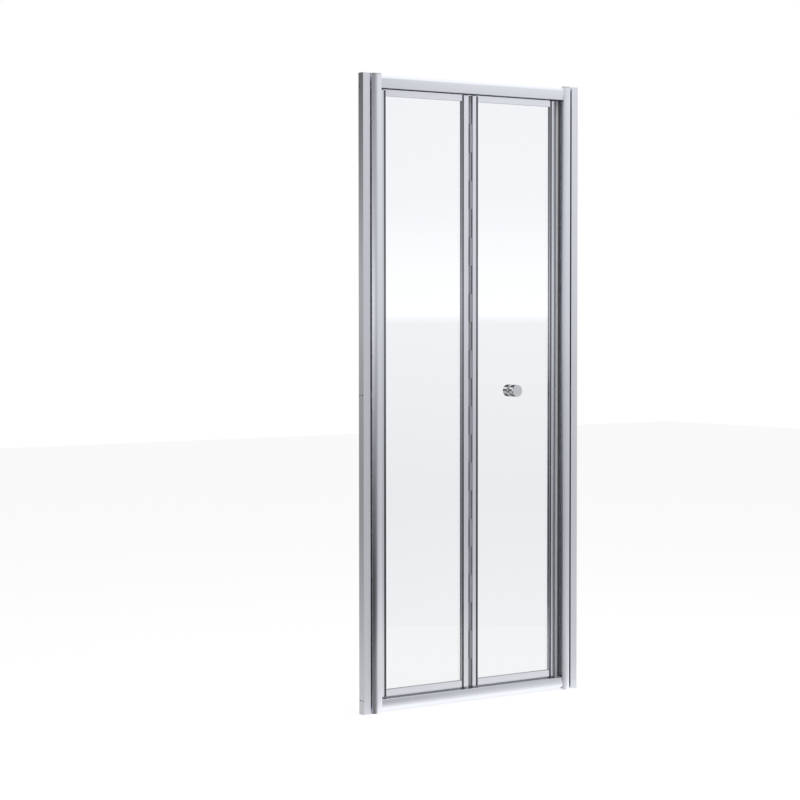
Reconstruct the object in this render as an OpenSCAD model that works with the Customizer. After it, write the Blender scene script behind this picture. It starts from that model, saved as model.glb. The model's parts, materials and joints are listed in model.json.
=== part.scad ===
// Bifold shower door: an aluminium frame for an alcove, with two framed glass leaves
// hinged to each other. The left leaf turns on pivot pins, the right leaf is led by shoes
// that slide in the head and sill tracks, and the fold moves into the enclosure.
// Origin: underside of the sill, at its mid-length, on the centre line of the track.
// +X is to the right seen from outside, +Y points into the enclosure, +Z is up.

/* [Overall] */
// Height of the frame, which is also the height of the wall channels
height = 1850; // [1600:10:2000]
// Width over the two wall channels
width = 808; // [780:1:860]

/* [Frame] */
// Visible width of a post between its door side and its wall side
post_w = 33; // [30:1:40]
// Mean width of the grooves between the two posts and their wall channels
post_gap = 4; // [3:1:6]
// Height of the sill rail
sill_h = 38; // [34:1:44]
// Height of the head rail
head_h = 40.5; // [36:0.5:46]
// Furthest reach of the rounded fronts in front of the track line
bow_reach = 42.15; // [40:0.05:46]
// Radius of the rounded outer shoulder of posts and rails
bow_r = 16; // [10:0.5:16]
// How far a rounded front falls back towards the door side
bow_drop = 3.15; // [2:0.05:5]
// Depth of the frame behind the track line
frame_rear = 14; // [12:1:24]
// Wall thickness of the frame extrusions
wall = 1.6; // [1.2:0.1:2]

/* [Wall channels] */
// Depth of a wall channel from front to back
channel_depth = 23; // [20:1:28]
// Front of a wall channel, in front of the track line
channel_reach = 36; // [30:1:38]
// Width of a wall channel, seen from the front
channel_w = 24; // [20:1:30]
// Sideways shift of both wall channels, as the posts stand unevenly in them
channel_shift = -2; // [-2.5:0.5:2.5]
// Distance between the two wall fixing holes at each height
fixing_pitch = 12.5; // [10:0.5:14]
// Height of the lowest fixing holes, and the distance of the highest from the top
fixing_end = 40; // [30:5:120]
// Radius of a wall fixing hole
fixing_r = 2.5; // [2:0.1:3]

/* [Leaves] */
// Half of the distance over the outer edges of the two leaves
leaf_half = 328; // [322:0.5:330]
// Depth of a leaf from its front plane to its back plane
leaf_depth = 21.6; // [20:0.1:26]
// Front plane of the leaves, in front of the track line
leaf_reach = 14.2; // [13:0.1:16]
// Thickness of the safety glass
glass_t = 6; // [4:1:6]
// Height of a leaf's bottom rail
leaf_rail_h = 20; // [16:0.5:26]
// Height of a leaf's top rail
leaf_top_h = 17; // [15:0.5:24]
// Gap between the sill and a leaf
gap_low = 3; // [2.5:0.5:6]
// Gap between a leaf and the head rail
gap_high = 3.5; // [2.5:0.5:6]

/* [Hinge and track] */
// Sideways place of the fold axis
fold_x = 0.8; // [0:0.1:2]
// Distance of the fold axis in front of the track line
fold_reach = 13.2; // [13:0.1:14]
// Distance along the track from the fold axis to either pin
arm = 322.4; // [321:0.1:323]
// Radius of the pivot and guide pins
pin_r = 2.25; // [2:0.05:2.5]
// Radial running clearance of the pins
running = 0.05; // [0.03:0.01:0.08]
// Half width of the track slot
slot_half = 6.3; // [6:0.1:8]
// Depth of the track slot
slot_depth = 20; // [16:1:22]
// Number of knuckles on the fold hinge
knuckles = 21; // [11:2:31]

/* [Knob] */
// Sideways place of the knob
knob_x = 171; // [100:1:250]
// Height of the knob's centre
knob_z = 925; // [800:5:1100]
// Diameter of the knob
knob_d = 36; // [30:1:44]
// Length of each half of the knob, from the glass
knob_len = 22; // [14:1:26]

/* [Hidden] */

eps = 0.01;
cut = 2;
silver = [0.80, 0.81, 0.83];
bright = [0.88, 0.88, 0.90];
dark = [0.14, 0.14, 0.15];
nylon = [0.22, 0.22, 0.24];
clear = [0.85, 0.92, 0.93, 0.4];
pale = [0.93, 0.93, 0.93];

// Frame places
post_out = width / 2 - channel_w - post_gap;
post_in = post_out - post_w;
channel_in = width / 2 - channel_w;
head_z = height - head_h;
rail_reach = bow_reach - bow_drop;
cap_t = 2;
tongue_y = [-channel_reach + 8, -channel_reach + channel_depth - 2];
tongue_end = width / 2 - 11;
port_r = 4.6;
screw_r = 2.1;
port_v = [-24, 9];
strip_w = 8;
strip_y = [-14, 2];
cap_x = 4.65;
magnet_y = [-4.5, 1];
bead = [1.6, 6];
fixing_z = [fixing_end, height / 2, height - fixing_end];
fixing_y = -channel_reach + channel_depth / 2;
adjusting_z = [120, height / 2 + 100, height - 120];

// Leaf places
leaf_z0 = sill_h + gap_low;
leaf_z1 = head_z - gap_high;
leaf_back = leaf_depth - leaf_reach;
glass_y = -6.4;
gasket_t = 1.3;
fin = 1;
groove_w = 6.9;
groove_d = 5.6;
groove_strip = 0.8;
skin = 1.4;
outer_band = 10.7;
fold_band_a = 16.9;
fold_band_b = 12.9;
fold_edge_a = -6.2;
fold_edge_b = 10;
pocket_depth = 8;
lip_back = glass_y + glass_t + gasket_t + skin;
wedge_t = 0.8;
lip_short = 4;
glass_bite = 6.5;
rail_pocket = 10;
fold_y = -fold_reach;
pivot_x = fold_x - arm;
guide_x = fold_x + arm;
block_screw_x = -post_in + 27;
knuckle_r = 2;
hinge_pin_r = 1;
knuckle_gap = 0.4;
plate_t = 1.5;
web_y = -9.4;
web_t = 1.2;
web_clear = 0.4;
block_in = 18;
washer_t = 1;

// ---------------------------------------------------------------- frame sections

// Section with a bowed front: u runs from the door side outwards, v is the depth.
module bow_section(w, inset = 0, reach = bow_reach) {
    shoulder = w - bow_r;
    front_r = (shoulder * shoulder + bow_drop * bow_drop) / (2 * bow_drop);
    intersection() {
        translate([shoulder, front_r - reach]) circle(r = front_r - inset, $fn = 360);
        translate([inset, -reach - 1]) square([shoulder - inset, bow_r + 1 + eps]);
    }
    translate([shoulder, bow_r - reach]) circle(r = bow_r - inset, $fn = 90);
    translate([inset, bow_r - reach])
        square([w - 2 * inset, frame_rear + reach - bow_r - inset]);
}

module post_section() {
    difference() {
        union() {
            bow_section(post_w);
            translate([post_w - 3, tongue_y[0]])
                square([tongue_end - post_out + 3, tongue_y[1] - tongue_y[0]]);
        }
        bow_section(post_w, wall);
        translate([post_w, tongue_y[0] + wall])
            square([tongue_end - post_out - wall, tongue_y[1] - tongue_y[0] - 2 * wall]);
    }
}

module rail_section(w) {
    difference() {
        union() {
            difference() {
                bow_section(w, 0, rail_reach);
                bow_section(w, wall, rail_reach);
            }
            translate([0, -slot_half - wall])
                square([slot_depth + wall, 2 * (slot_half + wall)]);
            for (v = port_v) translate([w - port_r - 0.4, v]) circle(r = port_r, $fn = 48);
        }
        translate([-cut, -slot_half]) square([slot_depth + cut, 2 * slot_half]);
        for (v = port_v) translate([w - port_r - 0.4, v]) circle(r = screw_r, $fn = 48);
    }
}

// Puts a part that is drawn for the right-hand side on either side.
module on_side(side) {
    mirror([side < 0 ? 1 : 0, 0, 0]) children();
}

module wall_channel(side) {
    translate([channel_shift, 0, 0]) on_side(side) difference() {
        translate([channel_in, -channel_reach, 0]) cube([channel_w, channel_depth, height]);
        translate([channel_in - cut, -channel_reach + wall, -cut])
            cube([channel_w - wall + cut, channel_depth - 2 * wall, height + 2 * cut]);
        for (z = fixing_z, k = [-0.5, 0.5])
            translate([width / 2 - 2 * wall, fixing_y + k * fixing_pitch, z])
                rotate([0, 90, 0]) cylinder(r = fixing_r, h = 4 * wall, $fn = 48);
        adjusting_holes();
    }
}

// Holes through the rear wall of a channel and of the tongue that slides in it.
module adjusting_holes() {
    for (z = adjusting_z)
        translate([channel_in + 7, -channel_reach + channel_depth - 5, z])
            rotate([-90, 0, 0]) cylinder(r = 1.75, h = 5 + cut, $fn = 40);
}

module post(side) {
    on_side(side) difference() {
        translate([post_in, 0, 0]) linear_extrude(height = height - cap_t) post_section();
        for (p = frame_screw_places())
            translate([post_in - cut, p[0], p[1]])
                rotate([0, 90, 0]) cylinder(r = screw_r + 0.1, h = wall + 2 * cut, $fn = 48);
        translate([side * channel_shift, 0, 0]) adjusting_holes();
    }
}

// Depth and height of each screw that joins a post to the ends of the rails.
function frame_screw_places() = [
    for (v = port_v) [v, port_r + 0.4],
    for (v = port_v) [v, height - port_r - 0.4]
];

module post_cap(side) {
    on_side(side) translate([post_in, 0, height - cap_t])
        linear_extrude(height = cap_t) bow_section(post_w);
}

module wall_channel_left() { color(silver) wall_channel(-1); }
module wall_channel_right() { color(silver) wall_channel(1); }
module post_left() { color(silver) post(-1); }
module post_right() { color(silver) post(1); }
module post_caps() { color(nylon) for (side = [-1, 1]) post_cap(side); }

module head_rail() {
    color(silver) translate([0, 0, head_z]) rotate([0, -90, 0])
        linear_extrude(height = 2 * post_in, center = true) rail_section(head_h);
}

module sill_rail() {
    color(silver) translate([0, 0, sill_h]) mirror([0, 0, 1]) rotate([0, -90, 0])
        linear_extrude(height = 2 * post_in, center = true) rail_section(sill_h);
}

// A screw along +X with its head at x = 0 and its shank reaching back by length.
module side_screw(shank_r, head_r, head_t, length) {
    rotate([0, 90, 0]) cylinder(r = head_r, h = head_t, $fn = 40);
    translate([-length, 0, 0]) rotate([0, 90, 0])
        cylinder(r = shank_r, h = length + head_t / 2, $fn = 40);
}

module frame_screws() {
    color(bright) for (side = [-1, 1], p = frame_screw_places())
        on_side(side) translate([post_in + wall, p[0], p[1]])
            side_screw(screw_r - 0.05, 2.9, 2, 18);
}

// Soft seal that hangs from the head rail in front of the leaves.
module head_seal() {
    color(dark) translate([-post_in + 0.5, -leaf_reach - 3.2, head_z - 2.2])
        cube([2 * post_in - 3, 1.2, 2.2]);
}

// Screws from inside the enclosure that lock each post in its wall channel.
module adjusting_screws() {
    color(bright) for (side = [-1, 1], z = adjusting_z) {
        x = side * (channel_in + 7) + channel_shift;
        translate([x, -channel_reach + channel_depth, z]) {
            rotate([-90, 0, 0]) cylinder(r = 3.6, h = 2, $fn = 40);
            rotate([90, 0, 0]) translate([0, 0, -1]) cylinder(r = 1.7, h = 6.5, $fn = 40);
        }
    }
}

module stop_strip(side) {
    on_side(side) difference() {
        translate([post_in - strip_w, strip_y[0], sill_h])
            cube([strip_w, strip_y[1] - strip_y[0], head_z - sill_h]);
        translate([post_in - strip_w + skin, strip_y[0] + skin, sill_h - cut])
            cube([strip_w - 2 * skin, strip_y[1] - strip_y[0] - 2 * skin,
                head_z - sill_h + 2 * cut]);
        translate([post_in - cap_x, strip_y[0] - cut, knob_z])
            rotate([-90, 0, 0]) cylinder(r = 1.8, h = skin + 2 * cut, $fn = 40);
    }
}

module stop_strip_left() { color(silver) stop_strip(-1); }
module stop_strip_right() { color(silver) stop_strip(1); }

module strip_screws() {
    color(bright) for (side = [-1, 1])
        on_side(side) translate([post_in - cap_x, strip_y[0] - 0.8, knob_z])
            rotate([-90, 0, 0]) {
                cylinder(r = 2.3, h = 0.8, $fn = 40);
                cylinder(r = 1.7, h = 5, $fn = 40);
            }
}

module screw_caps() {
    color(pale) for (side = [-1, 1])
        on_side(side) translate([post_in - cap_x, strip_y[0] - 0.8, knob_z])
            rotate([90, 0, 0]) cylinder(r1 = 2.6, r2 = 2.1, h = 1.4, $fn = 48);
}

// ---------------------------------------------------------------- pivot side

module pivot_block() {
    length = 34;
    difference() {
        translate([-post_in, -slot_half + 0.2, 0])
            cube([length, 2 * slot_half - 0.4, slot_depth - 1]);
        translate([pivot_x, 0, -cut]) cylinder(r = pin_r + running, h = slot_depth, $fn = 60);
        translate([block_screw_x, 0, -cut]) {
            cylinder(r = 1.9, h = slot_depth + cut, $fn = 40);
            cylinder(r = 3.6, h = cut + 2.8, $fn = 40);
        }
    }
}

module pivot_block_bottom() {
    color(nylon) translate([0, 0, sill_h]) mirror([0, 0, 1]) pivot_block();
}

module pivot_block_top() {
    color(nylon) translate([0, 0, head_z]) pivot_block();
}

module block_screw() {
    translate([block_screw_x, 0, 0.6]) {
        cylinder(r = 3.3, h = 2.2, $fn = 40);
        cylinder(r = 1.8, h = slot_depth - 1.6, $fn = 40);
    }
}

module pivot_block_screws() {
    color(bright) {
        translate([0, 0, sill_h]) mirror([0, 0, 1]) block_screw();
        translate([0, 0, head_z]) block_screw();
    }
}

module thrust_washer() {
    color(bright) translate([pivot_x, 0, sill_h]) difference() {
        cylinder(r = 5, h = washer_t, $fn = 60);
        translate([0, 0, -cut]) cylinder(r = pin_r + 0.2, h = washer_t + 2 * cut, $fn = 60);
    }
}

// Soft bulb along the pivot stile, fixed to the left stop strip.
module pivot_seal() {
    bulb = 2.6;
    color(dark) translate([-post_in + strip_w, 0, sill_h + 1])
        linear_extrude(height = head_z - sill_h - 2) {
            translate([0, strip_y[0] + 1]) square([1.2, 6]);
            translate([bulb + 0.6, strip_y[0] + 4]) circle(r = bulb, $fn = 40);
        }
}

// Magnetic strip on the right stop strip.
module closing_magnet() {
    color(dark) translate([post_in - strip_w - 2.4, magnet_y[0], sill_h + 1])
        cube([2.4, magnet_y[1] - magnet_y[0], head_z - sill_h - 2]);
}

// Soft bead on the right post's door side, in front of the stop strip.
module post_seal() {
    color(dark) translate([post_in - bead[0], strip_y[0] - 1.5 - bead[1], sill_h + 1])
        cube([bead[0], bead[1], head_z - sill_h - 2]);
}

// ---------------------------------------------------------------- leaf parts

// Stile section: u runs from the outer edge towards the glass, v is the depth.
module stile_section(band) {
    total = band + groove_w + fin;
    difference() {
        translate([0, -leaf_reach]) square([total, leaf_depth]);
        translate([band, -leaf_reach - cut]) square([groove_w, groove_d + cut]);
        translate([total - pocket_depth, glass_y - gasket_t])
            square([pocket_depth + cut, glass_t + 2 * gasket_t]);
        translate([total - pocket_depth, lip_back])
            square([pocket_depth + cut, leaf_back - lip_back + cut]);
        translate([total - lip_short, glass_y]) square([lip_short + cut, leaf_back - glass_y]);
        translate([skin, -leaf_reach + skin])
            square([band - 2 * skin - 0.2, leaf_depth - 2 * skin]);
    }
}

module stile(band, edge, dir) {
    translate([edge, 0, leaf_z0]) mirror([dir < 0 ? 1 : 0, 0, 0])
        linear_extrude(height = leaf_z1 - leaf_z0) stile_section(band);
}

function fin_x(edge, band, dir) = edge + dir * (band + groove_w + fin);

left_a = fin_x(-leaf_half, outer_band, 1);
right_a = fin_x(fold_edge_a, fold_band_a, -1);
left_b = fin_x(fold_edge_b, fold_band_b, 1);
right_b = fin_x(leaf_half, outer_band, -1);

module pivot_stile() { color(silver) stile(outer_band, -leaf_half, 1); }
module fold_stile_a() { color(silver) stile(fold_band_a, fold_edge_a, -1); }
module fold_stile_b() { color(silver) stile(fold_band_b, fold_edge_b, 1); }
module closing_stile() { color(silver) stile(outer_band, leaf_half, -1); }

// Rail section: u is the height above the leaf's edge, v is the depth.
module leaf_rail_section(h) {
    base = h - rail_pocket;
    pocket_y = glass_y - gasket_t;
    pocket_t = glass_t + 2 * gasket_t;
    difference() {
        translate([0, -leaf_reach]) square([h, lip_back + leaf_reach]);
        translate([base, pocket_y]) square([rail_pocket + cut, pocket_t]);
        translate([skin, -leaf_reach + skin])
            square([base - 2 * skin, lip_back + leaf_reach - 2 * skin]);
        translate([base, -leaf_reach + skin])
            square([rail_pocket - skin, pocket_y + leaf_reach - 2 * skin]);
    }
}

module leaf_rail(x0, x1, h) {
    translate([(x0 + x1) / 2, 0, 0]) rotate([0, -90, 0])
        linear_extrude(height = x1 - x0, center = true) leaf_rail_section(h);
}

module bottom_rail(x0, x1) { translate([0, 0, leaf_z0]) leaf_rail(x0, x1, leaf_rail_h); }
module top_rail(x0, x1) {
    translate([0, 0, leaf_z1]) mirror([0, 0, 1]) leaf_rail(x0, x1, leaf_top_h);
}

module top_rail_a() { color(silver) top_rail(left_a, right_a); }
module bottom_rail_a() { color(silver) bottom_rail(left_a, right_a); }
module top_rail_b() { color(silver) top_rail(left_b, right_b); }
module bottom_rail_b() { color(silver) bottom_rail(left_b, right_b); }

glass_z0 = leaf_z0 + leaf_rail_h - rail_pocket + 1;
glass_z1 = leaf_z1 - leaf_top_h + rail_pocket - 1;

module pane(x0, x1) {
    translate([x0 - glass_bite, glass_y, glass_z0])
        cube([x1 - x0 + 2 * glass_bite, glass_t, glass_z1 - glass_z0]);
}

module glass_a() { color(clear) pane(left_a, right_a); }

module glass_b() {
    color(clear) difference() {
        pane(left_b, right_b);
        translate([knob_x, glass_y - cut, knob_z]) rotate([-90, 0, 0])
            cylinder(r = 6, h = glass_t + 2 * cut, $fn = 60);
    }
}

// Strips that grip the pane in its pockets, and strips in the grooves of the stiles.
module gasket(x0, x1) {
    apart = 0.5;
    z_low = leaf_z0 + leaf_rail_h;
    z_high = leaf_z1 - leaf_top_h;
    for (y = [glass_y - gasket_t, glass_y + glass_t]) {
        back = y > glass_y ? lip_short : 0;
        for (x = [x0 - glass_bite, x1 + back])
            translate([x, y, z_low + apart])
                cube([glass_bite - back, gasket_t, z_high - z_low - 2 * apart]);
        for (z = [glass_z0, z_high])
            translate([x0, y, z]) cube([x1 - x0, gasket_t, z_low - glass_z0]);
    }
    for (x = [x0, x1 - wedge_t])
        translate([x, 2 - leaf_reach, z_low + apart])
            cube([wedge_t, glass_y + leaf_reach - 2, z_high - z_low - 2 * apart]);
    for (x = [x0 - fin - groove_w, x1 + fin])
        translate([x, groove_d - leaf_reach - groove_strip, leaf_z0])
            cube([groove_w, groove_strip, leaf_z1 - leaf_z0]);
}

module gasket_a() { color(dark) gasket(left_a, right_a); }
module gasket_b() { color(dark) gasket(left_b, right_b); }

// Block that closes the end of an outer stile: a flange below and a plug inside.
module end_block(edge, dir, bore_x, bore_r, flange) {
    difference() {
        union() {
            translate([edge + (dir < 0 ? -outer_band : 0), -leaf_reach + 0.4, -flange])
                cube([outer_band, leaf_depth - 0.8, flange]);
            translate([edge + (dir < 0 ? -outer_band + skin + 0.2 : skin),
                -leaf_reach + skin, -eps])
                cube([outer_band - 2 * skin - 0.2, leaf_depth - 2 * skin, block_in]);
        }
        translate([bore_x, 0, -flange - cut])
            cylinder(r = bore_r, h = flange + block_in + 2 * cut, $fn = 60);
    }
}

module end_blocks(edge, dir, bore_x, bore_r) {
    flange = gap_low - washer_t;
    translate([0, 0, leaf_z0]) end_block(edge, dir, bore_x, bore_r, flange);
    translate([0, 0, leaf_z1]) mirror([0, 0, 1]) end_block(edge, dir, bore_x, bore_r, flange);
}

module end_blocks_a() { color(nylon) end_blocks(-leaf_half, 1, pivot_x, pin_r); }

module end_blocks_b() {
    color(nylon) end_blocks(leaf_half, -1, guide_x, pin_r + running);
}

module fold_end_cap(edge, band, dir) {
    t = 1.2;
    translate([edge + (dir < 0 ? -band : 0), -leaf_reach + 0.4, -t])
        cube([band, leaf_depth - 0.8, t]);
    translate([edge + (dir < 0 ? -band + skin + 0.2 : skin), -leaf_reach + skin, -eps])
        cube([band - 2 * skin - 0.2, leaf_depth - 2 * skin, block_in / 2]);
}

module fold_end_caps(edge, band, dir) {
    translate([0, 0, leaf_z0]) fold_end_cap(edge, band, dir);
    translate([0, 0, leaf_z1]) mirror([0, 0, 1]) fold_end_cap(edge, band, dir);
}

module fold_end_caps_a() { color(nylon) fold_end_caps(fold_edge_a, fold_band_a, -1); }
module fold_end_caps_b() { color(nylon) fold_end_caps(fold_edge_b, fold_band_b, 1); }

// Pins of the pivot leaf: pressed into its end blocks, turning in the pivot blocks.
module pivot_pins() {
    reach = 15;
    length = block_in + gap_low + reach;
    color(bright) {
        translate([pivot_x, 0, sill_h - reach]) cylinder(r = pin_r, h = length, $fn = 60);
        translate([pivot_x, 0, head_z + reach - length - 0.5])
            cylinder(r = pin_r, h = length + 0.5, $fn = 60);
    }
}

// Drip wiper under a leaf's bottom rail.
module wiper(x0, x1) {
    translate([x0 + 1, glass_y - 1, leaf_z0 - 0.8]) cube([x1 - x0 - 2, 8, 0.8]);
    translate([x0 + 1, glass_y - 1, leaf_z0 - gap_low + 0.5])
        cube([x1 - x0 - 2, 1.4, gap_low - 0.5]);
}

module wiper_a() { color(dark) wiper(left_a, right_a); }
module wiper_b() { color(dark) wiper(left_b, right_b); }

// ---------------------------------------------------------------- fold hinge

knuckle_pitch = (leaf_z1 - leaf_z0) / knuckles;

// One side of the full-height hinge: a plate on the stile and every other knuckle.
module hinge_leaf(edge, dir, first) {
    plate_x = dir < 0 ? edge : edge - plate_t;
    web_x = dir < 0 ? edge : fold_x;
    web_w = abs(edge - fold_x);
    difference() {
        union() {
            translate([plate_x, fold_y + knuckle_r - web_t, leaf_z0])
                cube([plate_t, leaf_back - fold_y - 4, leaf_z1 - leaf_z0]);
            translate([dir < 0 ? edge : fold_x + web_clear, web_y, leaf_z0])
                cube([web_w - web_clear, web_t, leaf_z1 - leaf_z0]);
            for (k = [first : 2 : knuckles - 1])
                translate([0, 0, leaf_z0 + k * knuckle_pitch + knuckle_gap / 2]) {
                    translate([fold_x, fold_y, 0])
                        cylinder(r = knuckle_r, h = knuckle_pitch - knuckle_gap, $fn = 60);
                    translate([web_x, fold_y + knuckle_r - web_t, 0])
                        cube([web_w, web_t, knuckle_pitch - knuckle_gap]);
                }
        }
        translate([fold_x, fold_y, leaf_z0 - cut])
            cylinder(r = hinge_pin_r + running, h = leaf_z1 - leaf_z0 + 2 * cut, $fn = 48);
        for (z = hinge_screw_z())
            translate([edge - 4, 0, z]) rotate([0, 90, 0])
                cylinder(r = 1.7, h = 8, $fn = 36);
    }
}

function hinge_screw_z() = [for (k = [0 : 4]) leaf_z0 + 60 + k * (leaf_z1 - leaf_z0 - 120) / 4];

module hinge_leaf_a() { color(silver) hinge_leaf(fold_edge_a, -1, 0); }
module hinge_leaf_b() { color(silver) hinge_leaf(fold_edge_b, 1, 1); }

module hinge_pin() {
    color(bright) translate([fold_x, fold_y, leaf_z0 - 0.5])
        cylinder(r = hinge_pin_r, h = leaf_z1 - leaf_z0 + 1, $fn = 48);
}

// Screws that hold a hinge plate on its stile, with flat heads on the plate.
module hinge_screws(edge, dir) {
    for (z = hinge_screw_z())
        translate([edge + (dir < 0 ? plate_t : -plate_t), 0, z]) mirror([dir < 0 ? 0 : 1, 0, 0]) {
            rotate([0, 90, 0]) cylinder(r = 2.8, h = 0.7, $fn = 36);
            translate([-plate_t, 0, 0]) rotate([0, 90, 0])
                cylinder(r = 1.6, h = plate_t + 0.3, $fn = 36);
        }
}

module hinge_screws_a() { color(bright) hinge_screws(fold_edge_a, -1); }
module hinge_screws_b() { color(bright) hinge_screws(fold_edge_b, 1); }

module leaf_magnet() {
    color(dark) translate([leaf_half, magnet_y[0], leaf_z0 + 1])
        cube([3, magnet_y[1] - magnet_y[0], leaf_z1 - leaf_z0 - 2]);
}

// ---------------------------------------------------------------- knob

// Half of the knob as a turned body on its axis, with its foot at z = 0.
module knob_half() {
    r = knob_d / 2;
    edge_r = 1.5;
    rotate_extrude($fn = 96) difference() {
        union() {
            square([r - edge_r, knob_len]);
            translate([0, 3]) square([r, knob_len - 3 - edge_r]);
            translate([r - edge_r, knob_len - edge_r]) circle(r = edge_r, $fn = 40);
            square([r - 2.5, 3]);
        }
        translate([-cut, -cut]) square([3.5 + cut, 12 + cut]);
    }
}

washer_gap = 1;

module knob_outer() {
    color(bright) translate([knob_x, glass_y - washer_gap, knob_z])
        rotate([90, 0, 0]) knob_half();
}

module knob_inner() {
    color(bright) translate([knob_x, glass_y + glass_t + washer_gap, knob_z])
        rotate([-90, 0, 0]) knob_half();
}

module knob_stud() {
    color(bright) translate([knob_x, glass_y - 9, knob_z]) rotate([-90, 0, 0])
        cylinder(r = 3.4, h = glass_t + 18, $fn = 48);
}

module knob_washers() {
    color(pale) for (y = [glass_y - washer_gap, glass_y + glass_t])
        translate([knob_x, y, knob_z]) rotate([-90, 0, 0]) difference() {
            cylinder(r = knob_d / 2 - 3, h = washer_gap, $fn = 72);
            translate([0, 0, -cut]) cylinder(r = 3.6, h = washer_gap + 2 * cut, $fn = 48);
        }
}

// ---------------------------------------------------------------- track shoes

module guide_shoe() {
    length = 26;
    translate([guide_x - length / 2, -slot_half + 0.4, 1]) difference() {
        cube([length, 2 * slot_half - 0.8, 14]);
        translate([length / 2, slot_half - 0.4, -cut])
            cylinder(r = pin_r, h = 14 + 2 * cut, $fn = 60);
    }
}

module guide_shoe_bottom() {
    color(nylon) translate([0, 0, sill_h]) mirror([0, 0, 1]) guide_shoe();
}

module guide_shoe_top() {
    color(nylon) translate([0, 0, head_z]) guide_shoe();
}

module guide_pins() {
    length = 14 + gap_low + block_in;
    color(bright) {
        translate([guide_x, 0, sill_h - 14]) cylinder(r = pin_r, h = length, $fn = 60);
        translate([guide_x, 0, head_z + 14 - length]) cylinder(r = pin_r, h = length, $fn = 60);
    }
}

wall_channel_left();
wall_channel_right();
post_left();
post_right();
post_caps();
head_rail();
sill_rail();
frame_screws();
adjusting_screws();
stop_strip_left();
stop_strip_right();
strip_screws();
screw_caps();
pivot_block_top();
pivot_block_bottom();
pivot_block_screws();
thrust_washer();
pivot_seal();
closing_magnet();
post_seal();
head_seal();
pivot_stile();
fold_stile_a();
top_rail_a();
bottom_rail_a();
glass_a();
gasket_a();
end_blocks_a();
fold_end_caps_a();
pivot_pins();
wiper_a();
hinge_leaf_a();
hinge_pin();
hinge_screws_a();
closing_stile();
fold_stile_b();
top_rail_b();
bottom_rail_b();
glass_b();
gasket_b();
end_blocks_b();
fold_end_caps_b();
wiper_b();
hinge_leaf_b();
hinge_screws_b();
leaf_magnet();
knob_outer();
knob_inner();
knob_stud();
knob_washers();
guide_shoe_top();
guide_shoe_bottom();
guide_pins();
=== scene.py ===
"""Bifold shower door: silver aluminium frame, two framed glass leaves, a round knob.

Metres, in the frame of the CAD part: X to the right seen from outside, Y into the
enclosure, Z up, origin under the middle of the sill.
"""
import json
from math import cos, pi, radians, sin

import bmesh
import bpy
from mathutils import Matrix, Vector


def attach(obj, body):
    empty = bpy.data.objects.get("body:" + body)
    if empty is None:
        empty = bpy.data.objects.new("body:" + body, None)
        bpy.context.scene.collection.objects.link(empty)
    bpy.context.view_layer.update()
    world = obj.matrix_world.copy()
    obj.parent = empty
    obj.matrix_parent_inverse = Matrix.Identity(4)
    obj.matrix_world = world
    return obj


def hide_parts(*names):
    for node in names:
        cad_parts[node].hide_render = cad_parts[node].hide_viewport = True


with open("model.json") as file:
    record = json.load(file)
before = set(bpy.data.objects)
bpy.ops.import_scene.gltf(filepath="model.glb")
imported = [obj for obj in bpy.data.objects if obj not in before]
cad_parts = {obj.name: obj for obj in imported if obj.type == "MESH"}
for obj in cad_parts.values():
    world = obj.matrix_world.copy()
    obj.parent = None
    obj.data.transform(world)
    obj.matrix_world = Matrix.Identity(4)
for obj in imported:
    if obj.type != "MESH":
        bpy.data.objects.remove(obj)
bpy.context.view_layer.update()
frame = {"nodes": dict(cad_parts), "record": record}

MM = 0.001

# ------------------------------------------------------------------ places, millimetres

FRAME_TOP = 1850.0
POST_IN = 343.0
CAP_INSET = 4.65
CAP_FACE = -14.8
KNOB_X, KNOB_Z = 171.0, 925.0
GLASS_FRONT, GLASS_REAR = -6.4, -0.4
WASHER = 1.0
SILL_TOP, HEAD_LOW = 38.0, 1809.5
GUIDE_X = 323.2
CHANNEL_SHIFT, CHANNEL_REAR = -2.0, -13.0
CHANNEL_FLANK, CHANNEL_OUTSIDE = 403.4, 403.8
ADJUSTING_X, ADJUSTING_Z = 387.0, (120.0, 1025.0, 1730.0)
BLOCK_SCREW_X, BLOCK_SEAT = -POST_IN + 27, 2.8
HINGE_SEAT_A, HINGE_SEAT_B = -4.7, 8.5
HINGE_SCREW_Z = [101.0 + 411.25 * k for k in range(5)]

# ------------------------------------------------------------------ camera

PHOTO_SIZE = 800
PHOTO_FOCAL = 2311.58
SENSOR = 36.0
CAMERA_PLACE = (-4.25807, -5.44476, 1.18147)
CAMERA_PITCH = -0.0406
CAMERA_YAW = 0.6347
CAMERA_ROLL = 0.0008

camera_data = bpy.data.cameras.new("photo_camera")
camera_data.sensor_width = SENSOR
camera_data.sensor_fit = "HORIZONTAL"
camera_data.lens = PHOTO_FOCAL / PHOTO_SIZE * SENSOR
camera_data.clip_end = 60
camera = bpy.data.objects.new("photo_camera", camera_data)
bpy.context.scene.collection.objects.link(camera)
camera.location = CAMERA_PLACE
camera.rotation_euler = (pi / 2 + CAMERA_PITCH, CAMERA_ROLL, -CAMERA_YAW)
bpy.context.scene.camera = camera

# ------------------------------------------------------------------ shader maths


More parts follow.
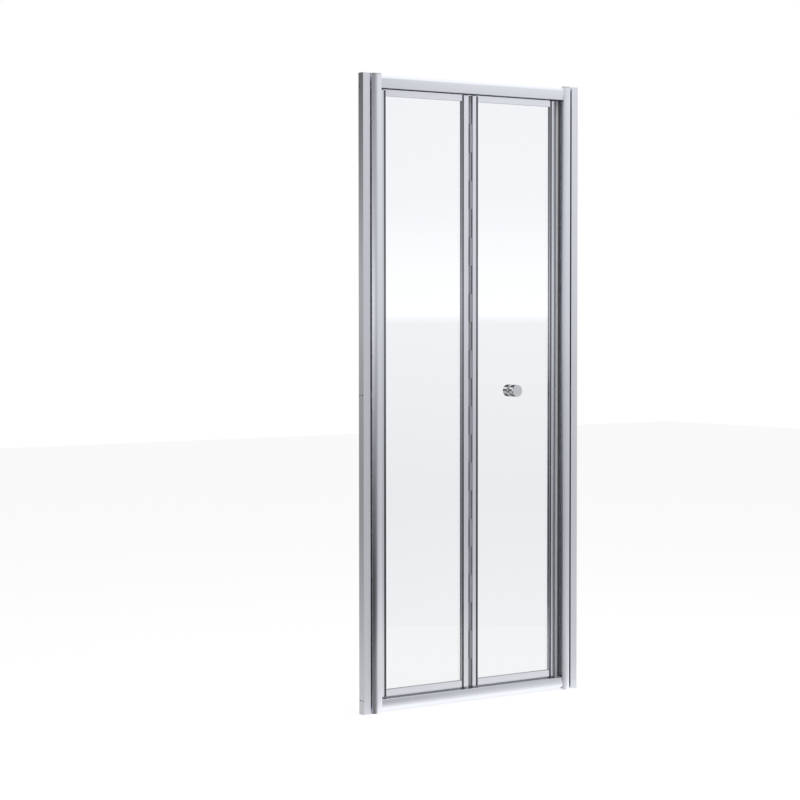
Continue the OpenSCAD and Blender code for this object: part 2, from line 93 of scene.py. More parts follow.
class Value:
    """A number socket that takes part in Python expressions through Math nodes."""

    def __init__(self, tree, socket):
        self.tree = tree
        self.socket = socket

    def _math(self, operation, other, swap=False):
        a, b = (other, self) if swap else (self, other)
        return node(self.tree, "ShaderNodeMath", {"operation": operation}, {0: a, 1: b})

    def __add__(self, other):
        return self._math("ADD", other)

    def __sub__(self, other):
        return self._math("SUBTRACT", other)

    def __rsub__(self, other):
        return self._math("SUBTRACT", other, swap=True)

    def __mul__(self, other):
        return self._math("MULTIPLY", other)

    def __truediv__(self, other):
        return self._math("DIVIDE", other)

    def maximum(self, other):
        return self._math("MAXIMUM", other)

    def unsigned(self):
        """The number without its sign."""
        return node(self.tree, "ShaderNodeMath", {"operation": "ABSOLUTE"}, {0: self})

    def turn_from(self, ahead):
        """The turn in radians of a direction with this much aside and that much ahead."""
        return self._math("ARCTAN2", ahead)

    __radd__ = __add__
    __rmul__ = __mul__


def node(tree, kind, settings=None, inputs=None, output=0):
    """Adds one node: its settings first, then the values or links of its sockets."""
    made = tree.nodes.new(kind)
    for key, value in (settings or {}).items():
        if key == "stops":
            ramp = made.color_ramp
            while len(ramp.elements) < len(value):
                ramp.elements.new(0.5)
            for element, (place, colour) in zip(ramp.elements, value):
                element.position = place
                element.color = colour
        else:
            setattr(made, key, value)
    for key, value in (inputs or {}).items():
        if isinstance(value, Value):
            tree.links.new(value.socket, made.inputs[key])
        else:
            made.inputs[key].default_value = value
    return Value(tree, made.outputs[output]) if made.outputs else None


def grey(level):
    return (level, level, level, 1)


def cool(level):
    """A grey level with the slight blue of studio paper seen in daylight."""
    return (level * 0.988, level * 0.998, level * 1.014, 1)


def new_tree(name):
    material = bpy.data.materials.new(name)
    material.use_nodes = True
    tree = material.node_tree
    tree.nodes.clear()
    return material, tree


def surface(tree, shader):
    node(tree, "ShaderNodeOutputMaterial", None, {"Surface": shader})


def principled(tree, settings):
    return node(tree, "ShaderNodeBsdfPrincipled", None, settings)


def glowing(tree, colour):
    return node(tree, "ShaderNodeEmission", None, {"Color": colour, "Strength": 1.0})


def either(tree, share, first, second):
    """The first shader where the share is 0, the second where it is 1."""
    return node(tree, "ShaderNodeMixShader", None, {0: share, 1: first, 2: second})


def mix_colour(tree, factor, low, high):
    low, high = (colour if isinstance(colour, Value) or len(colour) == 4 else (*colour, 1)
                 for colour in (low, high))
    return node(tree, "ShaderNodeMix", {"data_type": "RGBA"}, {0: factor, 6: low, 7: high},
                output=2)


def on_object(tree):
    return node(tree, "ShaderNodeTexCoord", None, None, output="Object")


def split(tree, vector):
    """The X, Y and Z of a vector as three values."""
    parted = node(tree, "ShaderNodeSeparateXYZ", None, {0: vector}).socket.node
    return [Value(tree, part) for part in parted.outputs]


def ray(tree, question):
    """What the Light Path node says of the ray that arrives."""
    return node(tree, "ShaderNodeLightPath", None, None, output=question)


def noise(tree, scale, detail, roughness):
    """Noise on Object coordinates, its cycles for each metre given along X, Y and Z."""
    where = node(tree, "ShaderNodeMapping", None, {"Vector": on_object(tree), "Scale": scale})
    return node(tree, "ShaderNodeTexNoise", None,
                {"Vector": where, "Scale": 1.0, "Detail": detail, "Roughness": roughness})


def bump(tree, height, depth):
    """A relief whose depth is given in millimetres."""
    return node(tree, "ShaderNodeBump", None,
                {"Height": height, "Distance": depth * MM, "Strength": 1.0})


def rise(tree, value, low, high, curve="SMOOTHSTEP"):
    """0 up to the low end, 1 from the high end on."""
    return node(tree, "ShaderNodeMapRange", {"interpolation_type": curve},
                {"Value": value, "From Min": low, "From Max": high})


# ------------------------------------------------------------------ materials

ACROSS, ALONG = 900.0, 4.0
AXES = {"x": (ALONG, ACROSS, ACROSS), "z": (ACROSS, ACROSS, ALONG)}
DIE_LINE_DEPTH = 0.004


def die_lines(tree, axis):
    """The faint lines that a die leaves along an extrusion."""
    return noise(tree, AXES[axis], 2.0, 0.6)


def slow_cloud(tree):
    return noise(tree, (9, 9, 9), 3.0, 0.5)


def anodised(name, axis, low, high, rough, metal=1.0):
    """Satin silver finish with the faint die lines of an extrusion."""
    material, tree = new_tree(name)
    lines, cloud = die_lines(tree, axis), slow_cloud(tree)
    etch = noise(tree, (2600, 2600, 2600), 1.0, 0.5)
    surface(tree, principled(tree, {
        "Base Color": mix_colour(tree, lines * 0.6 + cloud * 0.4, low, high),
        "Metallic": metal,
        "Roughness": rough - 0.025 + lines * 0.05 + cloud * 0.025,
        "Normal": bump(tree, lines * 0.7 + etch * 0.3, DIE_LINE_DEPTH),
    }))
    return material


def channel_finish_and_painted_shade():
    """Anodised wall channel whose outer face, which goes against the wall, has a darker base
    colour as painted shade.
    """
    material, tree = new_tree("anodised_wall_channel")
    lines, cloud = die_lines(tree, "z"), slow_cloud(tree)
    across = (split(tree, on_object(tree))[0] - CHANNEL_SHIFT * MM).unsigned()
    outer = rise(tree, across, CHANNEL_FLANK * MM, CHANNEL_OUTSIDE * MM, "LINEAR")
    front = mix_colour(tree, lines, (0.87, 0.89, 0.95), (0.93, 0.95, 0.99))
    # Painted shade: a darker grey for the face against the wall, which stands in for the shade
    # that falls on it.
    painted_shade_colour = mix_colour(tree, lines, (0.58, 0.59, 0.61), (0.68, 0.69, 0.71))
    surface(tree, principled(tree, {
        "Base Color": mix_colour(tree, outer, front, painted_shade_colour),
        "Metallic": 1.0,
        "Roughness": lines * 0.05 + cloud * 0.03 + 0.42,
        "Normal": bump(tree, lines, DIE_LINE_DEPTH),
    }))
    return material


def polished_chrome():
    material, tree = new_tree("polished_chrome")
    film = noise(tree, (60, 60, 60), 4.0, 0.6)
    surface(tree, principled(tree, {
        "Base Color": mix_colour(tree, film, (0.80, 0.81, 0.84), (0.86, 0.87, 0.89)),
        "Metallic": 1.0,
        "Roughness": film * 0.05 + 0.03,
    }))
    return material


def turned_steel():
    material, tree = new_tree("stainless_steel")
    marks = noise(tree, (3000, 3000, 700), 2.0, 0.6)
    surface(tree, principled(tree, {
        "Base Color": mix_colour(tree, marks, (0.56, 0.56, 0.57), (0.68, 0.68, 0.69)),
        "Metallic": 1.0,
        "Roughness": marks * 0.16 + 0.2,
        "Normal": bump(tree, marks, 0.01),
    }))
    return material


def moulded(name, low, high, rough, grain_scale=1400, depth=0.02):
    """Moulded or extruded plastic and rubber with a fine even grain."""
    material, tree = new_tree(name)
    grain = noise(tree, (grain_scale,) * 3, 2.0, 0.5)
    cloud = noise(tree, (40, 40, 40), 3.0, 0.5)
    surface(tree, principled(tree, {
        "Base Color": mix_colour(tree, grain * 0.4 + cloud * 0.6, low, high),
        "Roughness": rough - 0.06 + grain * 0.12,
        "Normal": bump(tree, grain, depth),
    }))
    return material


def clear_plastic():
    material, tree = new_tree("clear_washer_plastic")
    cloud = noise(tree, (300, 300, 300), 3.0, 0.5)
    surface(tree, principled(tree, {
        "Base Color": mix_colour(tree, cloud, (0.80, 0.82, 0.84), (0.90, 0.91, 0.92)),
        "Roughness": cloud * 0.1 + 0.2,
        "Transmission Weight": 0.7,
        "IOR": 1.47,
    }))
    return material


def safety_glass():
    """Clear toughened glass: faint roller waves, and light passes it in its shadow."""
    material, tree = new_tree("clear_safety_glass")
    waves = noise(tree, (5, 5, 9), 1.0, 0.4)
    cloud = noise(tree, (30, 30, 30), 2.0, 0.5)
    pane = principled(tree, {
        "Base Color": mix_colour(tree, cloud, (0.972, 0.980, 0.994), (0.980, 0.987, 0.992)),
        "Roughness": 0.0,
        "Transmission Weight": 1.0,
        "IOR": 1.45,
        "Normal": bump(tree, waves, 0.02),
    })
    veil = node(tree, "ShaderNodeBsdfTransparent", None, {"Color": grey(0.93)})
    surface(tree, either(tree, ray(tree, "Is Shadow Ray"), pane, veil))
    return material


SILVER = ((0.86, 0.88, 0.94), (0.92, 0.94, 0.99))
silver_upright = anodised("anodised_upright", "z", *SILVER, 0.19)
silver_level = anodised("anodised_level", "x", *SILVER, 0.19)
silver_strip = anodised("anodised_strip", "z", (0.80, 0.81, 0.85), (0.88, 0.89, 0.92), 0.5, 0.3)
silver_channel = channel_finish_and_painted_shade()
chrome = polished_chrome()
steel = turned_steel()
glass = safety_glass()
nylon_grey = moulded("grey_nylon", (0.105, 0.107, 0.115), (0.15, 0.152, 0.16), 0.48)
cap_grey = anodised("silvered_cap_plastic", "x", (0.40, 0.41, 0.44), (0.50, 0.51, 0.54),
                    0.3, 0.85)
seal_black = moulded("black_seal_rubber", (0.055, 0.055, 0.060), (0.085, 0.085, 0.092), 0.6)
seal_satin = anodised("satin_glazing_seal", "z", (0.25, 0.255, 0.27), (0.31, 0.315, 0.33),
                      0.18, 0.9)
seal_grey = moulded("grey_seal_rubber", (0.78, 0.78, 0.80), (0.86, 0.86, 0.88), 0.45)
hinge_grey = moulded("grey_hinge_plastic", (0.26, 0.265, 0.29), (0.32, 0.325, 0.35), 0.38)
magnet_dark = moulded("magnet_strip_plastic", (0.05, 0.05, 0.055), (0.08, 0.08, 0.085), 0.4)
cap_white = moulded("white_cap_plastic", (0.82, 0.82, 0.83), (0.88, 0.88, 0.88), 0.28,
                    grain_scale=900, depth=0.008)
washer_clear = clear_plastic()

# ------------------------------------------------------------------ modelling helpers


def deselect():
    if bpy.context.object and bpy.context.object.mode != "OBJECT":
        bpy.ops.object.mode_set(mode="OBJECT")
    bpy.ops.object.select_all(action="DESELECT")


def take(piece):
    """Makes a piece the only one selected."""
    deselect()
    piece.select_set(True)
    bpy.context.view_layer.objects.active = piece


def edit(piece, mode="FACE"):
    """Opens a piece in edit mode with nothing selected."""
    take(piece)
    bpy.ops.object.mode_set(mode="EDIT")
    bpy.ops.mesh.select_mode(type=mode)
    bpy.ops.mesh.select_all(action="DESELECT")


def close(piece):
    bpy.ops.object.mode_set(mode="OBJECT")
    take(piece)


def pick_faces(piece, test):
    """Selects the faces of the open piece whose centre and normal pass the test."""
    mesh = bmesh.from_edit_mesh(piece.data)
    for face in mesh.faces:
        if test(face.calc_center_median(), face.normal):
            face.select_set(True)
    bmesh.update_edit_mesh(piece.data)


def pick_edges(piece, test):
    """Selects the edges of the open piece whose two ends pass the test."""
    mesh = bmesh.from_edit_mesh(piece.data)
    for edge in mesh.edges:
        if test(edge.verts[0].co, edge.verts[1].co):
            edge.select_set(True)
    mesh.select_flush_mode()
    bmesh.update_edit_mesh(piece.data)


def settle(piece):
    """Puts the object's origin at the world's, with its place in its mesh."""
    take(piece)
    bpy.ops.object.transform_apply(location=True, rotation=True, scale=True)


def stand(piece, place, turn=(0, 0, 0)):
    """Turns a piece by degrees and moves it to a place in millimetres."""
    piece.rotation_euler = [radians(angle) for angle in turn]
    piece.location = Vector(place) * MM
    settle(piece)
    return piece


def apply_modifier(piece, kind, settings):
    take(piece)
    modifier = piece.modifiers.new(kind.lower(), kind)
    for key, value in settings.items():
        setattr(modifier, key, value)
    bpy.ops.object.modifier_apply(modifier=modifier.name)


def finish_faces(piece, angle):
    """Shades the faces smooth up to an angle, with the broad ones kept flat."""
    take(piece)
    bpy.ops.object.shade_smooth_by_angle(angle=radians(angle))
    apply_modifier(piece, "WEIGHTED_NORMAL", {"weight": 100, "keep_sharp": True})


def dress(piece, material, body, replaced):
    """Material, slot, body and replaced nodes of a finished piece."""
    piece.data.materials.clear()
    piece.data.materials.append(material)
    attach(piece, body)
    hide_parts(*replaced)


def body_of(name):
    for body, members in frame["record"]["behaviour"]["bodies"].items():
        if name in members:
            return body


def softened(name, suffix, material, width, segments=2, shape=None):
    """A copy of a hard-edged solid with its facets merged, shaped and its edges rounded."""
    source = frame["nodes"][name]
    piece = source.copy()
    piece.data = source.data.copy()
    piece.name = name + "_" + suffix
    piece.parent = None
    for key in list(piece.keys()):
        del piece[key]
    bpy.context.scene.collection.objects.link(piece)
    take(piece)
    bpy.ops.object.mode_set(mode="EDIT")
    bpy.ops.mesh.select_all(action="SELECT")
    bpy.ops.mesh.customdata_custom_splitnormals_clear()
    bpy.ops.mesh.remove_doubles(threshold=0.002 * MM)
    bpy.ops.mesh.dissolve_limited(angle_limit=radians(0.4))
    bpy.ops.object.mode_set(mode="OBJECT")
    if shape:
        shape(piece)
    apply_modifier(piece, "BEVEL", {
        "width": width * MM, "segments": segments, "limit_method": "ANGLE",
        "angle_limit": radians(40),
    })
    finish_faces(piece, 32)
    dress(piece, material, body_of(name), (name,))


def turned(piece_name, rings, sides):
    """A body turned on Z; each ring is a radius and a height in millimetres."""
    deselect()
    radius, height = rings[0]
    bpy.ops.mesh.primitive_circle_add(vertices=sides, radius=radius * MM, fill_type="NGON",
                                      location=(0, 0, height * MM))
    piece = bpy.context.object
    piece.name = piece_name
    settle(piece)
    bpy.ops.object.mode_set(mode="EDIT")
    bpy.ops.mesh.select_mode(type="FACE")
    bpy.ops.mesh.select_all(action="SELECT")
    for new_radius, new_height in rings[1:]:
        bpy.ops.mesh.extrude_region_move(
            TRANSFORM_OT_translate={"value": (0, 0, (new_height - height) * MM)})
        scale = new_radius / radius
        if scale != 1:
            bpy.ops.transform.resize(value=(scale, scale, 1), center_override=(0, 0, 0))
        radius, height = new_radius, new_height
    bpy.ops.mesh.select_all(action="SELECT")
    bpy.ops.mesh.normals_make_consistent(inside=False)
    close(piece)
    return piece


def copies(piece, places, turns):
    """One object made of a modelled piece repeated at several places."""
    made = []
    for place, turn in zip(places, turns):
        again = piece.copy()
        again.data = piece.data.copy()
        bpy.context.scene.collection.objects.link(again)
        made.append(stand(again, place, turn))
    name = piece.name
    take(piece)
    bpy.ops.object.delete()
    deselect()
    for again in made:
        again.select_set(True)
    bpy.context.view_layer.objects.active = made[0]
    bpy.ops.object.join()
    made[0].name = name
    return made[0]


def cross_cutter(reach, thickness, depth, top):
    """Two crossed tapering blades that cut a screw's driver recess."""
    blades = []
    for turn in (0, 90):
        deselect()
        bpy.ops.mesh.primitive_cube_add(size=1, location=(0, 0, 0))
        blade = bpy.context.object
        blade.dimensions = (reach * MM, thickness * MM, 2 * depth * MM)
        blade.location = (0, 0, top * MM)
        settle(blade)
        edit(blade)
        pick_faces(blade, lambda centre, normal: normal.z < -0.9)
        bpy.ops.transform.resize(value=(0.45, 0.6, 1), center_override=(0, 0, 0))
        close(blade)
        blades.append(stand(blade, (0, 0, 0), (0, 0, turn)))
    return blades


def cross_screw(piece_name, head, head_h, shank, length):
    """Pan head screw on Z with its seat at zero and a cross recess in the head."""
    rings = [(shank - 0.5, -length), (shank, -length + 0.6), (shank, 0.0), (head - 0.15, 0.0),
             (head, 0.15), (head, head_h * 0.35), (head * 0.95, head_h * 0.62),
             (head * 0.82, head_h * 0.84), (head * 0.6, head_h * 0.96), (head * 0.3, head_h)]
    piece = turned(piece_name, rings, 40)
    for cutter in cross_cutter(head * 1.1, head * 0.24, head_h * 0.6, head_h):
        apply_modifier(piece, "BOOLEAN", {"operation": "DIFFERENCE", "object": cutter,
                                          "solver": "EXACT"})
        take(cutter)
        bpy.ops.object.delete()
    finish_faces(piece, 30)
    return piece


# ------------------------------------------------------------------ shapes of single pieces

SILL_EDGE_ROUND = 1.3
CAP_RIM, CAP_SINK = 1.4, 0.45
WIPER_EDGE_SHARE, WIPER_EDGE_BACK = 0.35, 0.4
GROOVE_SIDE, GROOVE_DEPTH = 0.9, 0.35
SHOE_HALF_BODY, SHOE_END_ROUND = 12.0, 3.2


def round_sill_edge(piece):
    """Rounds the front top edge of the sill, which catches a thin line of light."""
    edit(piece, "EDGE")
    front = min(v.co.y for v in piece.data.vertices if abs(v.co.z - SILL_TOP * MM) < MM / 100)
    pick_edges(piece, lambda a, b: abs(a.x - b.x) > 100 * MM
               and max(abs(a.y - front), abs(b.y - front)) < MM / 50
               and min(a.z, b.z) > (SILL_TOP - 0.05) * MM)
    bpy.ops.mesh.bevel(offset=SILL_EDGE_ROUND * MM, segments=5)
    close(piece)


def sink_cap_panel(piece):
    """Leaves a raised rim round the top of each post cap."""
    edit(piece)
    pick_faces(piece, lambda centre, normal: normal.z > 0.9 and centre.z > (FRAME_TOP - 0.1) * MM)
    bpy.ops.mesh.inset(thickness=CAP_RIM * MM, depth=-CAP_SINK * MM)
    close(piece)


def thin_wiper_edge(piece):
    """Tapers the blade of a drip wiper towards its lower edge."""
    edit(piece)
    low = min(vertex.co.z for vertex in piece.data.vertices)
    front = min(vertex.co.y for vertex in piece.data.vertices)
    pick_faces(piece, lambda centre, normal: normal.z < -0.9 and centre.z < low + 0.1 * MM)
    bpy.ops.transform.resize(value=(1, WIPER_EDGE_SHARE, 1),
                             center_override=(0, front + WIPER_EDGE_BACK * MM, low))
    close(piece)


def groove_magnet(facing):
    """Sinks a shallow groove along the face of a magnetic strip."""
    def shape(piece):
        edit(piece)
        pick_faces(piece, lambda centre, normal: normal.x * facing > 0.9)
        bpy.ops.mesh.inset(thickness=GROOVE_SIDE * MM, depth=-GROOVE_DEPTH * MM)
        close(piece)
    return shape


def round_shoe_ends(piece):
    """Rounds the upright corners of a shoe, which lead it along the track."""
    edit(piece, "EDGE")
    pick_edges(piece, lambda a, b: abs(a.x - b.x) < MM / 100 and abs(a.y - b.y) < MM / 100
               and abs(a.x - GUIDE_X * MM) > SHOE_HALF_BODY * MM)
    bpy.ops.mesh.bevel(offset=SHOE_END_ROUND * MM, segments=6)
    close(piece)


# ------------------------------------------------------------------ extrusions

for name in ("post_left", "post_right", "pivot_stile", "fold_stile_a", "fold_stile_b",
             "closing_stile"):
    softened(name, "extrusion", silver_upright, 0.25)
for name in ("head_rail", "sill_rail", "top_rail_a", "bottom_rail_a", "top_rail_b",
             "bottom_rail_b"):
    shape = round_sill_edge if name == "sill_rail" else None
    softened(name, "extrusion", silver_level, 0.25, 2, shape)
for side in ("left", "right"):
    softened("stop_strip_" + side, "extrusion", silver_strip, 0.25)
    softened("wall_channel_" + side, "extrusion", silver_channel, 0.25)

# ------------------------------------------------------------------ mouldings, seals, panes

for name in ("pivot_block_top", "pivot_block_bottom", "end_blocks_a", "end_blocks_b",
             "fold_end_caps_a", "fold_end_caps_b"):
    softened(name, "moulding", nylon_grey, 0.4, 3)
softened("post_caps", "moulding", cap_grey, 0.3, 3, sink_cap_panel)
for name in ("guide_shoe_top", "guide_shoe_bottom"):
    softened(name, "moulding", nylon_grey, 0.4, 3, round_shoe_ends)
for name in ("hinge_leaf_a", "hinge_leaf_b"):
    softened(name, "extrusion", hinge_grey, 0.25)
for name in ("pivot_seal", "post_seal", "head_seal"):
    softened(name, "strip", seal_black, 0.3, 3)
for name in ("gasket_a", "gasket_b"):
    softened(name, "strip", seal_satin, 0.3, 3)
for name in ("wiper_a", "wiper_b"):
    softened(name, "strip", seal_grey, 0.2, 2, thin_wiper_edge)
for name, facing in (("closing_magnet", -1), ("leaf_magnet", 1)):
    softened(name, "profile", magnet_dark, 0.3, 3, groove_magnet(facing))
softened("knob_washers", "ring", washer_clear, 0.2)
for name in ("glass_a", "glass_b"):
    softened(name, "pane", glass, 0.5)

# ------------------------------------------------------------------ screws and pins

for name in ("pivot_pins", "guide_pins", "hinge_pin", "thrust_washer", "frame_screws",
             "strip_screws", "knob_stud"):
    softened(name, "turned", steel, 0.2)

screw = cross_screw("adjusting_screws_turned", 3.6, 2.0, 1.7, 5.5)
places = [(side * ADJUSTING_X + CHANNEL_SHIFT, CHANNEL_REAR, z)
          for side in (-1, 1) for z in ADJUSTING_Z]
screw = copies(screw, places, [(-90, 0, 0)] * len(places))
dress(screw, steel, "frame", ("adjusting_screws",))

screw = cross_screw("pivot_block_screws_turned", 3.3, 2.2, 1.8, 16.2)
screw = copies(screw, [(BLOCK_SCREW_X, 0, SILL_TOP - BLOCK_SEAT),
                       (BLOCK_SCREW_X, 0, HEAD_LOW + BLOCK_SEAT)], [(0, 0, 0), (180, 0, 0)])
dress(screw, steel, "frame", ("pivot_block_screws",))

for name, seat, turn in (("hinge_screws_a", HINGE_SEAT_A, 90),
                         ("hinge_screws_b", HINGE_SEAT_B, -90)):
    screw = cross_screw(name + "_turned", 2.8, 0.7, 1.6, 1.5)
    screw = copies(screw, [(seat, 0, z) for z in HINGE_SCREW_Z],
                   [(0, turn, 0)] * len(HINGE_SCREW_Z))
    dress(screw, steel, body_of(name), (name,))

CAP_RINGS = [(2.55, 0.0), (2.6, 0.08), (2.6, 0.25), (2.48, 0.62), (2.18, 0.96), (1.7, 1.2),
             (1.1, 1.35), (0.5, 1.4)]
cap = turned("screw_caps_dome", CAP_RINGS, 48)
finish_faces(cap, 40)
cap = copies(cap, [(side * (POST_IN - CAP_INSET), CAP_FACE, KNOB_Z) for side in (-1, 1)],
             [(90, 0, 0)] * 2)
dress(cap, cap_white, "frame", ("screw_caps",))

# ------------------------------------------------------------------ knob

KNOB_RINGS = [(3.5, 12.0), (3.5, 0.4), (3.9, 0.0), (15.2, 0.0), (15.5, 0.3), (15.5, 2.7),
              (15.8, 3.0), (17.5, 3.0), (17.85, 3.15), (18.0, 3.5), (18.0, 20.9), (17.9, 21.4),
              (17.6, 21.75), (17.15, 21.95), (16.6, 22.0), (14.6, 22.0), (14.35, 21.9),
              (14.1, 21.85), (7.0, 21.87), (1.0, 21.88)]
for name, seat, turn in (("knob_outer", GLASS_FRONT - WASHER, 90),
                         ("knob_inner", GLASS_REAR + WASHER, -90)):
    half = turned(name + "_turned", KNOB_RINGS, 96)
    finish_faces(half, 30)
    stand(half, (KNOB_X, seat, KNOB_Z), (turn, 0, 0))
    dress(half, chrome, body_of(name), (name,))

# ------------------------------------------------------------------ lamps and backdrop

DOOR_MIDDLE = (0, 0, 0.9)
SOFTBOXES = (("overhead_softbox", (0.2, -0.6, 3.6), (2.6, 2.6), 60),
             ("front_softbox", (2.6, -3.4, 2.0), (1.6, 2.2), 45),
             ("side_softbox", (-3.2, -1.4, 2.2), (1.2, 2.0), 22))
AMBIENT = 0.45

for name, place, size, power in SOFTBOXES:
    data = bpy.data.lights.new(name, "AREA")
    data.shape = "RECTANGLE"
    data.size, data.size_y = size
    data.energy = power
    light = bpy.data.objects.new(name, data)
    bpy.context.scene.collection.objects.link(light)
    light.location = place
    aim = Vector(DOOR_MIDDLE) - Vector(place)
    light.rotation_euler = aim.to_track_quat("-Z", "Y").to_euler()
    light.visible_camera = False
    light.visible_glossy = False


def seen_white(tree):
    """1 for rays that reach the background by sight, by reflection or through glass."""
    by_sight_or_mirror = ray(tree, "Is Camera Ray").maximum(ray(tree, "Is Glossy Ray"))
    return by_sight_or_mirror.maximum(ray(tree, "Is Transmission Ray"))


world = bpy.data.worlds.new("studio")
bpy.context.scene.world = world
world.use_nodes = True
tree = world.node_tree
tree.nodes.clear()
ambient, backdrop = (node(tree, "ShaderNodeBackground", None,
                          {"Color": grey(1), "Strength": strength}) for strength in (AMBIENT, 1.0))
node(tree, "ShaderNodeOutputWorld", None,
     {"Surface": either(tree, seen_white(tree), ambient, backdrop)})

# ------------------------------------------------------------------ surroundings that mirror

AWAY = (sin(CAMERA_YAW), -cos(CAMERA_YAW))
WALL_RADIUS = 1.6
WALL_HEIGHT = 3.0


def bearing_of(x, y):
    """Bearing in radians: 0 is where level faces mirror, half a turn is behind-left."""
    aside = x * AWAY[1] - y * AWAY[0]
    return aside.turn_from(x * AWAY[0] + y * AWAY[1])


def round_share(tree, bearing, rows):
    """A share that changes with the bearing, given in degrees."""
    stops = [((angle + 180) / 360, grey(share)) for angle, share in rows]
    return node(tree, "ShaderNodeValToRGB", {"stops": stops}, {0: bearing / (2 * pi) + 0.5})


def upright_levels(tree, height, rows):
    """The wall's level from the floor up, given at heights in metres."""
    stops = [(z / WALL_HEIGHT, cool(level)) for z, level in rows]
    return node(tree, "ShaderNodeValToRGB", {"stops": stops}, {0: height})


# The floor: paper white by sight, a little lower through glass. Mirrors see it lighter near
# the door, and dark off to the left.
FLOOR_SIZE = 24
FLOOR_GLOW = 0.82
FLOOR_BY_SIGHT, LOST_IN_GLASS = 1.07, 0.10
MIRRORED_FAR, GAIN_NEAR = 0.74, 0.38
NEAR_FROM, NEAR_TO = -0.24, -0.05

material, tree = new_tree("pale_floor")
grain = noise(tree, (30, 30, 30), 2.0, 0.5)
matt = node(tree, "ShaderNodeBsdfDiffuse", None,
            {"Color": mix_colour(tree, grain, (0.86, 0.86, 0.86), (0.88, 0.88, 0.88))})
near = rise(tree, split(tree, on_object(tree))[1], NEAR_FROM, NEAR_TO)
arrival = split(tree, node(tree, "ShaderNodeNewGeometry", None, None, output="Incoming"))
heading = bearing_of(arrival[0] * -1, arrival[1] * -1)
lit = round_share(tree, heading, [(-180, 1.0), (0, 1.0), (20, 0.62), (40, 0.30), (60, 0.10),
                                  (90, 0.06), (125, 0.06), (145, 0.9), (180, 1.0)])
by_glass = ray(tree, "Is Transmission Ray")
only_mirror = ray(tree, "Is Glossy Ray") * (1 - by_glass)
straight = (1 - only_mirror) * (FLOOR_BY_SIGHT - by_glass * LOST_IN_GLASS)
floor_level = straight + only_mirror * lit * (near * GAIN_NEAR + MIRRORED_FAR)
surface(tree, either(tree, seen_white(tree) * FLOOR_GLOW, matt, glowing(tree, floor_level)))
deselect()
bpy.ops.mesh.primitive_plane_add(size=FLOOR_SIZE, location=(0, 0, 0))
floor = bpy.context.object
floor.name = "studio_floor"
floor.data.materials.append(material)
settle(floor)

# A round studio wall that only reflections and glass see: bright at the horizon.
HIGH_GLOW, HIGH_FROM, HIGH_TO = 1.4, 2.05, 2.4
BEHIND_FROM, BEHIND_TO = 0.7, 0.92

material, tree = new_tree("studio_wall")
x, y, z = split(tree, on_object(tree))
height = z / WALL_HEIGHT
bearing = bearing_of(x, y)
bright_side = upright_levels(tree, height, [
    (0.0, 0.70), (0.35, 0.56), (0.75, 0.58), (1.2, 0.70), (1.9, 0.79), (2.34, 0.84),
    (3.0, 1.05)])
middle_side = upright_levels(tree, height, [
    (0.0, 0.03), (0.2, 0.05), (0.65, 0.20), (1.0, 0.30), (1.2, 0.46), (1.5, 0.38),
    (1.9, 0.32), (3.0, 0.34)])
dark_side = upright_levels(tree, height, [
    (0.0, 0.12), (0.2, 0.05), (0.56, 0.15), (0.82, 0.48), (1.18, 1.20), (1.42, 0.72),
    (2.0, 0.19), (3.0, 0.14)])
left_side = upright_levels(tree, height, [
    (0.0, 0.85), (0.15, 0.80), (0.3, 0.68), (0.52, 0.50), (0.8, 0.38), (1.1, 0.42),
    (1.25, 0.90), (1.4, 0.50), (1.6, 0.22), (1.9, 0.02), (3.0, 0.02)])
through = upright_levels(tree, height, [
    (0.0, 0.915), (0.5, 0.872), (0.8, 0.90), (1.12, 0.925), (1.15, 1.07), (1.3, 1.04),
    (1.57, 0.955), (1.95, 0.93)])
bright_share = round_share(tree, bearing, [
    (-160, 0.0), (-110, 1.0), (-30, 1.0), (0, 0.97), (20, 0.60), (40, 0.3), (60, 0.15),
    (90, 0.0)])
dark_share = round_share(tree, bearing, [
    (-180, 1.0), (-150, 0.6), (-110, 0.0), (50, 0.0), (75, 0.4), (95, 0.5), (120, 0.75),
    (150, 0.95), (180, 1.0)])
left_share = round_share(tree, bearing, [
    (-180, 0.0), (146, 0.0), (160, 1.0), (174, 1.0), (179, 0.0), (180, 0.0)])
sweep = mix_colour(tree, bright_share, middle_side, bright_side)
sweep = mix_colour(tree, dark_share, sweep, dark_side)
sweep = mix_colour(tree, left_share, sweep, left_side)
behind = rise(tree, (x + y) / (WALL_RADIUS * 2 ** 0.5), BEHIND_FROM, BEHIND_TO)
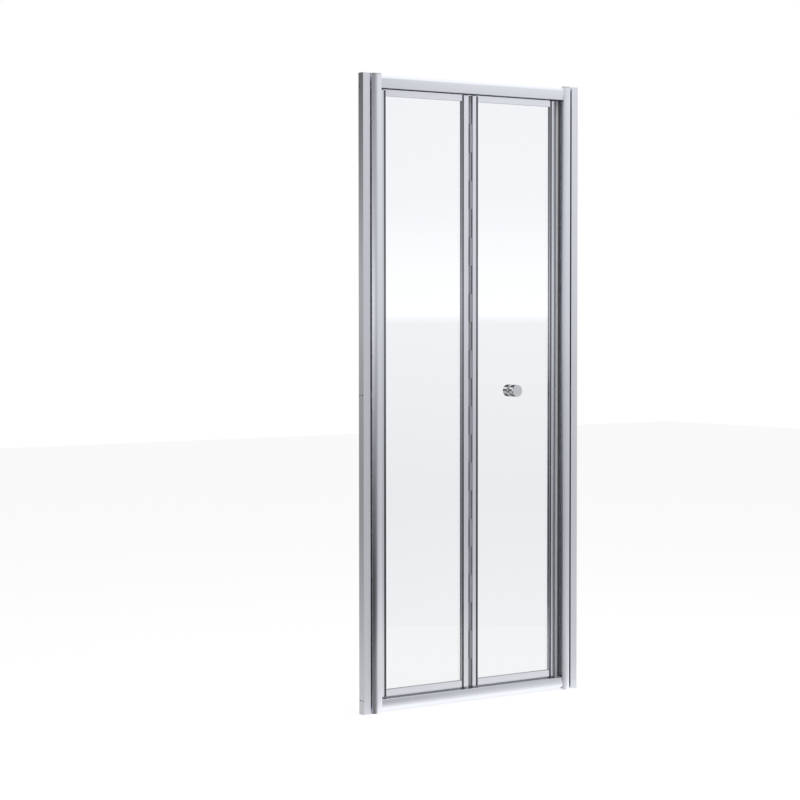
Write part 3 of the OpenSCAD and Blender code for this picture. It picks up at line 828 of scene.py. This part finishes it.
reflected = mix_colour(tree, behind * rise(tree, z, HIGH_FROM, HIGH_TO), sweep, grey(HIGH_GLOW))
only_glass = ray(tree, "Is Transmission Ray") * (1 - ray(tree, "Glossy Depth")).maximum(0)
surface(tree, glowing(tree, mix_colour(tree, only_glass, reflected, through)))
deselect()
bpy.ops.mesh.primitive_cylinder_add(vertices=96, radius=WALL_RADIUS, depth=WALL_HEIGHT,
                                    end_fill_type="NOTHING", location=(0, 0, WALL_HEIGHT / 2))
wall = bpy.context.object
wall.name = "studio_wall"
wall.data.materials.append(material)

CEILING_GLOW = 1.05
material, tree = new_tree("studio_ceiling")
surface(tree, glowing(tree, grey(CEILING_GLOW)))
deselect()
bpy.ops.mesh.primitive_circle_add(vertices=96, radius=WALL_RADIUS, fill_type="NGON",
                                  location=(0, 0, WALL_HEIGHT))
ceiling = bpy.context.object
ceiling.name = "studio_ceiling"
ceiling.data.materials.append(material)

# A small card behind the knob, which only reflections see, grey in bands by angle.
CARD_RADIUS, CARD_BACK = 0.085, 60
material, tree = new_tree("knob_card")
x, y, z = split(tree, on_object(tree))
turn = (z - KNOB_Z * MM).turn_from(KNOB_X * MM - x)
banded = round_share(tree, turn, [
    (-180, 0.10), (-120, 0.10), (-85, 0.12), (-60, 0.12), (-45, 0.50), (-14, 0.55),
    (-4, 0.13), (26, 0.10), (31, 1.05), (56, 1.05), (61, 0.04), (140, 0.05), (160, 0.3),
    (180, 0.1)])
unseen = node(tree, "ShaderNodeBsdfTransparent", None, {"Color": grey(1)})
surface(tree, either(tree, ray(tree, "Glossy Depth"), unseen, glowing(tree, banded)))
deselect()
bpy.ops.mesh.primitive_circle_add(vertices=64, radius=CARD_RADIUS, fill_type="NGON",
                                  location=(0, 0, 0))
card = bpy.context.object
card.name = "knob_card"
card.data.materials.append(material)
stand(card, (KNOB_X, CARD_BACK, KNOB_Z), (90, 0, 0))

for part in (wall, ceiling, card):
    settle(part)
    part.visible_camera = False
    part.visible_diffuse = False
    part.visible_shadow = False

bpy.context.scene.view_settings.view_transform = "Standard"

deselect()
